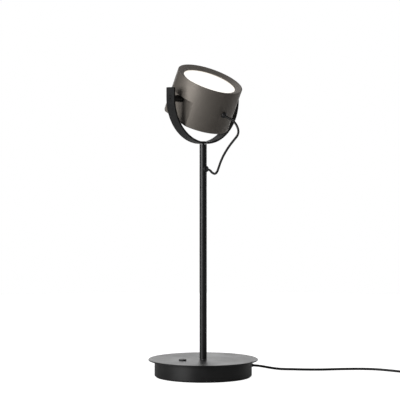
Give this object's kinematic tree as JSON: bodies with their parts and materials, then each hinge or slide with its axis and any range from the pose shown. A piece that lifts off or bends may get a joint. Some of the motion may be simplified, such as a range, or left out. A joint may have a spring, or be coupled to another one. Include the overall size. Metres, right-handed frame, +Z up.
{
  "type": "desk lamp",
  "caption": "Desk lamp: a round black weighted base carries a slim turning post whose half-round fork holds a tilting drum-shaped LED spot head.",
  "frame": {"origin": "centre of the base's underside, where the lamp stands", "axes": "+Z up along the post; X along the head's tilt axis between the fork's arms; the head leans towards -Y, the side on which its lead hangs"},
  "size_m": [0.4951, 0.3411, 0.5131],
  "materials": {
    "black_powder_coat": "satin black powder coat",
    "zinc_plated_steel": "zinc plated",
    "foot_pad": "matte black foot pad",
    "cast_iron": "rough cast iron",
    "white_reflector_plastic": "white moulded plastic",
    "circuit_board": "green circuit board",
    "black_plastic": "fine-grained black plastic",
    "grey_plastic": "grey plastic",
    "black_lead_rubber": "black flexible lead sheath",
    "plated_pin": "nickel-plated brass",
    "satin_bronze_anodised": "satin grey-brown metallic",
    "opal_diffuser": "opal diffuser, softly glowing",
    "bare_aluminium": "bare aluminium"
  },
  "bodies": {
    "base": {"base_plate": "black_powder_coat", "drum": "black_powder_coat", "bottom_cover": "black_powder_coat", "cover_screw_1": "zinc_plated_steel", "cover_screw_2": "zinc_plated_steel", "cover_screw_3": "zinc_plated_steel", "foot_ring": "foot_pad", "ballast": "cast_iron", "driver_tray": "white_reflector_plastic", "driver_lid": "white_reflector_plastic", "driver_board": "circuit_board", "driver_transformer": "cast_iron", "driver_capacitor": "black_plastic", "driver_terminal": "grey_plastic", "switch_body": "black_plastic", "switch_spring": "zinc_plated_steel", "mains_strain_relief": "black_lead_rubber", "lead_anchor": "black_plastic", "mains_lead": "black_lead_rubber", "mains_lead_tail": "black_lead_rubber", "lead_coil": "black_lead_rubber", "plug_relief": "black_lead_rubber", "plug_body": "black_plastic", "plug_pin_left": "plated_pin", "plug_pin_right": "plated_pin", "swivel_bush": "grey_plastic", "stop_pin": "zinc_plated_steel"},
    "stem": {"swivel_stud": "zinc_plated_steel", "stop_washer": "zinc_plated_steel", "swivel_nut": "zinc_plated_steel", "post": "black_powder_coat", "post_plug": "zinc_plated_steel", "post_bush": "black_plastic", "inner_lead": "black_lead_rubber", "fork": "black_powder_coat", "fork_screw": "zinc_plated_steel", "pivot_screw_left": "black_powder_coat", "pivot_screw_right": "black_powder_coat", "spacer_left": "black_powder_coat", "spacer_right": "black_powder_coat", "head_lead": "black_lead_rubber"},
    "head": {"head_shell": "satin_bronze_anodised", "front_ring": "satin_bronze_anodised", "diffuser": "opal_diffuser", "reflector": "white_reflector_plastic", "led_board": "white_reflector_plastic", "heat_sink": "bare_aluminium", "rear_cover": "black_powder_coat", "rear_screw_1": "zinc_plated_steel", "rear_screw_2": "zinc_plated_steel", "rear_screw_3": "zinc_plated_steel", "friction_washer_left": "black_plastic", "friction_washer_right": "black_plastic", "pivot_nut_left": "zinc_plated_steel", "pivot_nut_right": "zinc_plated_steel", "head_gland": "black_plastic"},
    "button": {"switch_button": "black_plastic"}
  },
  "joints": [
    {"name": "stem_swivel", "type": "hinge", "parent": "base", "child": "stem", "pos_m": [0, 0, 0.029], "axis": [0, 0, 1], "range_deg": [-160, 160]},
    {"name": "head_tilt", "type": "hinge", "parent": "stem", "child": "head", "pos_m": [0, 0, 0.455], "axis": [1, 0, 0], "range_deg": [-40, 50], "deforming": ["head_lead"]},
    {"name": "switch_press", "type": "slide", "parent": "base", "child": "button", "axis": [0, 0, -1], "range_m": [0, 0.0015], "stiffness_N_per_m": 600, "springref_m": -0.002, "deforming": ["switch_spring"]}
  ]
}
